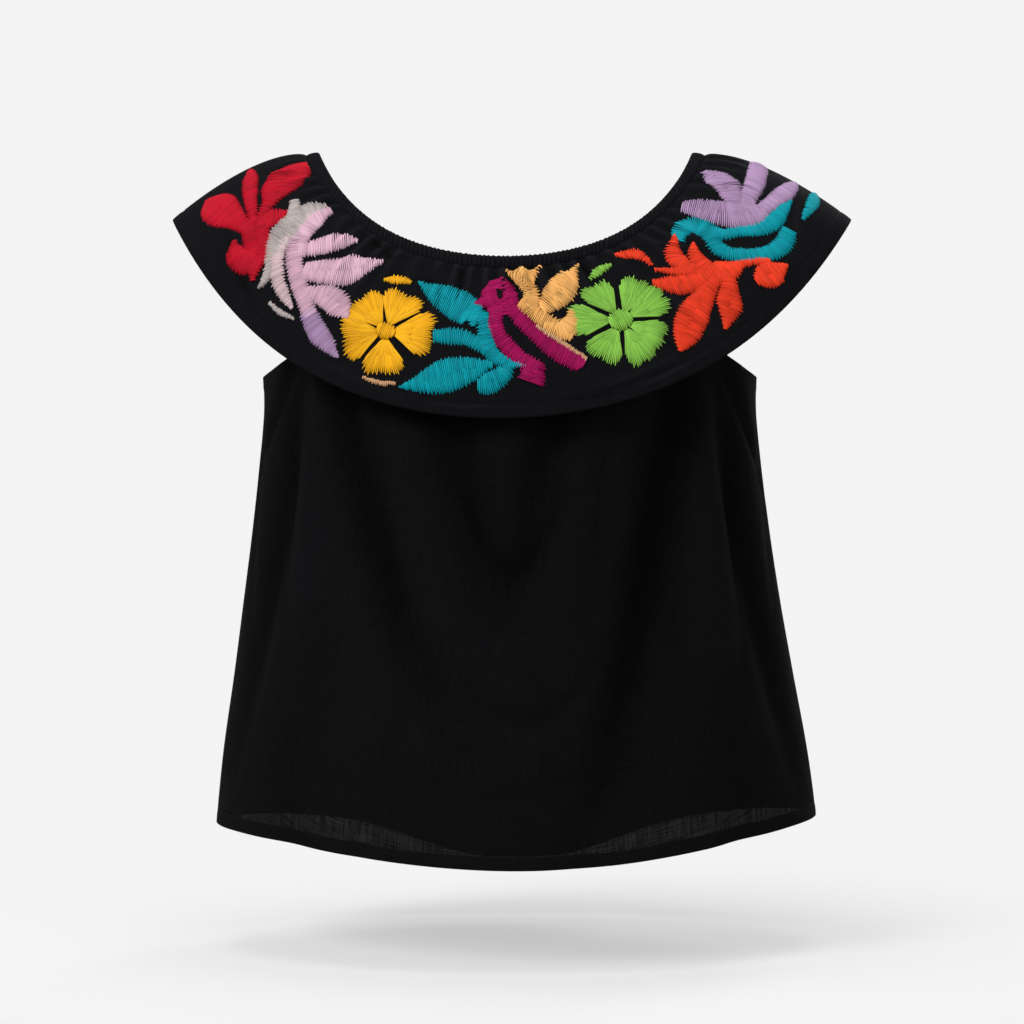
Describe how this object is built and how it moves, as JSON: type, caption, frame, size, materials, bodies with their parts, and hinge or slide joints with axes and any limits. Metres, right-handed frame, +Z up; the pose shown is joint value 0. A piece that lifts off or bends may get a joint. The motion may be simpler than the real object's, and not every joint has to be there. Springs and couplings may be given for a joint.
{
  "type": "peasant blouse",
  "caption": "Off-the-shoulder peasant blouse in thin black cotton, with a ruched neck casing, a broad embroidered flounce and a flared body, hollow as worn.",
  "frame": {"origin": "middle of the neck opening at shoulder height, where the wearer's shoulders hold the blouse", "axes": "+Z up, -Y out of the front, +X towards the wearer's left shoulder"},
  "size_m": [0.55, 0.3082, 0.5866],
  "materials": {
    "body_cotton": "thin black cotton, slightly sheer in one layer",
    "flounce_cotton": "thin black cotton, embroidered in coloured thread",
    "casing_cotton": "black cotton, ruched on elastic"
  },
  "bodies": {
    "root": {"body_front": "body_cotton", "body_back": "body_cotton", "flounce_front": "flounce_cotton", "flounce_back": "flounce_cotton", "neck_casing_front": "casing_cotton", "neck_casing_back": "casing_cotton"}
  },
  "joints": []
}
